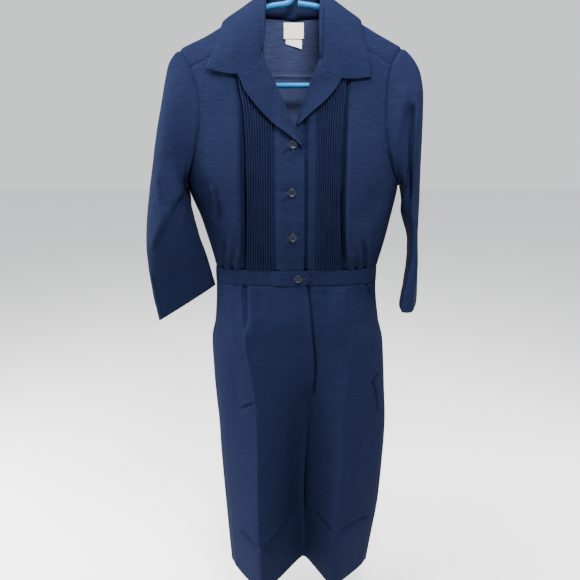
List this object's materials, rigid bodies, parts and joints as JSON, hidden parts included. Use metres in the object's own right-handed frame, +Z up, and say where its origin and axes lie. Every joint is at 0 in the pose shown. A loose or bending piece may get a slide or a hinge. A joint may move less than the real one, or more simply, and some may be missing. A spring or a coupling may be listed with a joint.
{
  "type": "waitress dress on a hanger",
  "caption": "long-sleeved waitress dress with lapels, tucked front panels, a waistband and a wrap skirt, hanging on a tubular hanger",
  "frame": {"origin": "the inside top of the hanger's hook, where it is held", "axes": "+Z up the hanging dress, -Y out of its front, +X to the wearer's left"},
  "size_m": [0.507, 0.158, 1.1925],
  "materials": {
    "navy_cloth": "matt plain weave polyester, slightly rough",
    "button": "dark, softly polished",
    "hanger_plastic": "smooth blue moulded plastic",
    "label_cream": "woven satin, bare",
    "label_white": "printed satin tape, bare"
  },
  "bodies": {
    "root": {"bodice_back": "navy_cloth", "bodice_front_left": "navy_cloth", "bodice_front_right": "navy_cloth", "collar": "navy_cloth", "lapel_left": "navy_cloth", "lapel_right": "navy_cloth", "placket_left": "navy_cloth", "placket_right": "navy_cloth", "skirt_back": "navy_cloth", "skirt_front_left": "navy_cloth", "skirt_front_right": "navy_cloth", "sleeve_left": "navy_cloth", "sleeve_right": "navy_cloth", "tuck_panel_left": "navy_cloth", "tuck_panel_right": "navy_cloth", "waistband": "navy_cloth", "yoke": "navy_cloth", "button_1": "button", "button_2": "button", "button_3": "button", "button_4": "button", "neck_label": "label_cream", "care_label": "label_white", "hanger": "hanger_plastic"}
  },
  "joints": []
}
